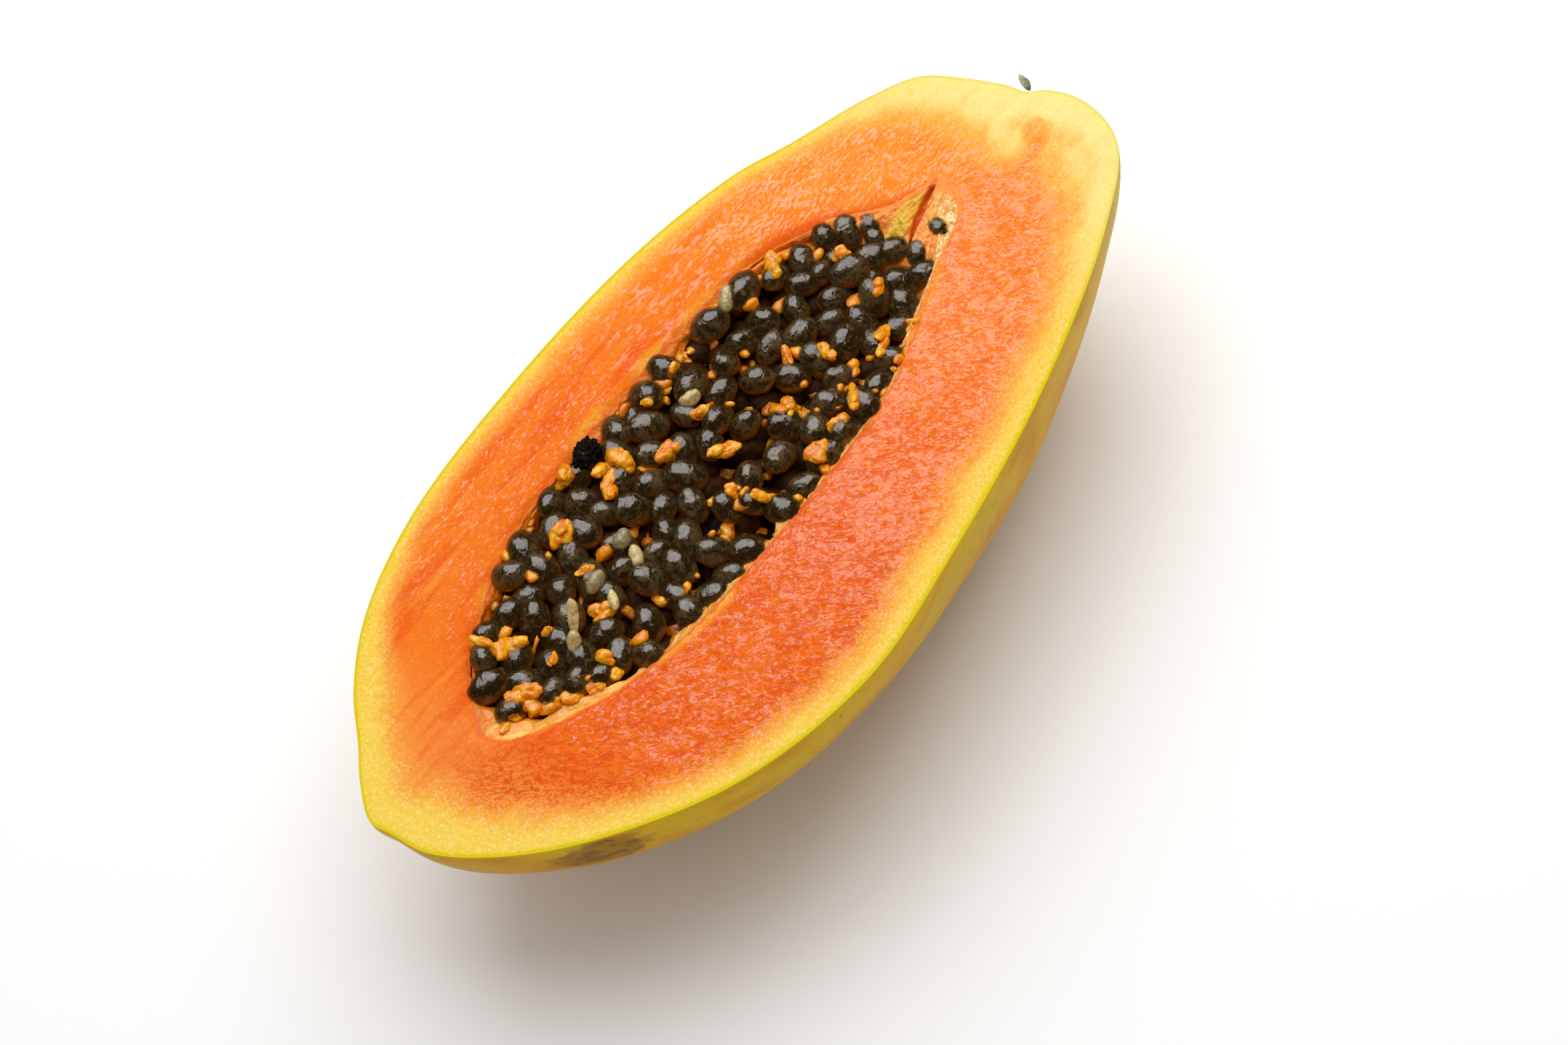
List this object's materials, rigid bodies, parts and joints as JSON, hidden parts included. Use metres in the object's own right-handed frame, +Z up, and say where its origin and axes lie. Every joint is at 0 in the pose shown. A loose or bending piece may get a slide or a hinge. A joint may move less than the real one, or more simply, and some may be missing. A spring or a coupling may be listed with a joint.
{
  "type": "papaya half",
  "caption": "Ripe papaya half cut lengthwise: yellow-green rind, orange flesh and an open cavity heaped with dark seeds, resting cut face up on its skin.",
  "frame": {"origin": "middle of the half's box, on the surface that it rests on", "axes": "+X from the blossom end to the stem end, +Y towards the slimmer side of the flesh, +Z up out of the cut face"},
  "size_m": [0.2046, 0.1026, 0.0515],
  "materials": {
    "flesh": "wet satin orange flesh, paling to yellow under a thin yellow-green rind",
    "seeds": "near-black wrinkled seeds in a glossy clear coat, with orange pulp between them",
    "sepal": "dry grey-green blade with brown edges"
  },
  "bodies": {
    "root": {"papaya_flesh": "flesh", "seed_heap": "seeds", "calyx_scrap": "sepal"}
  },
  "joints": []
}
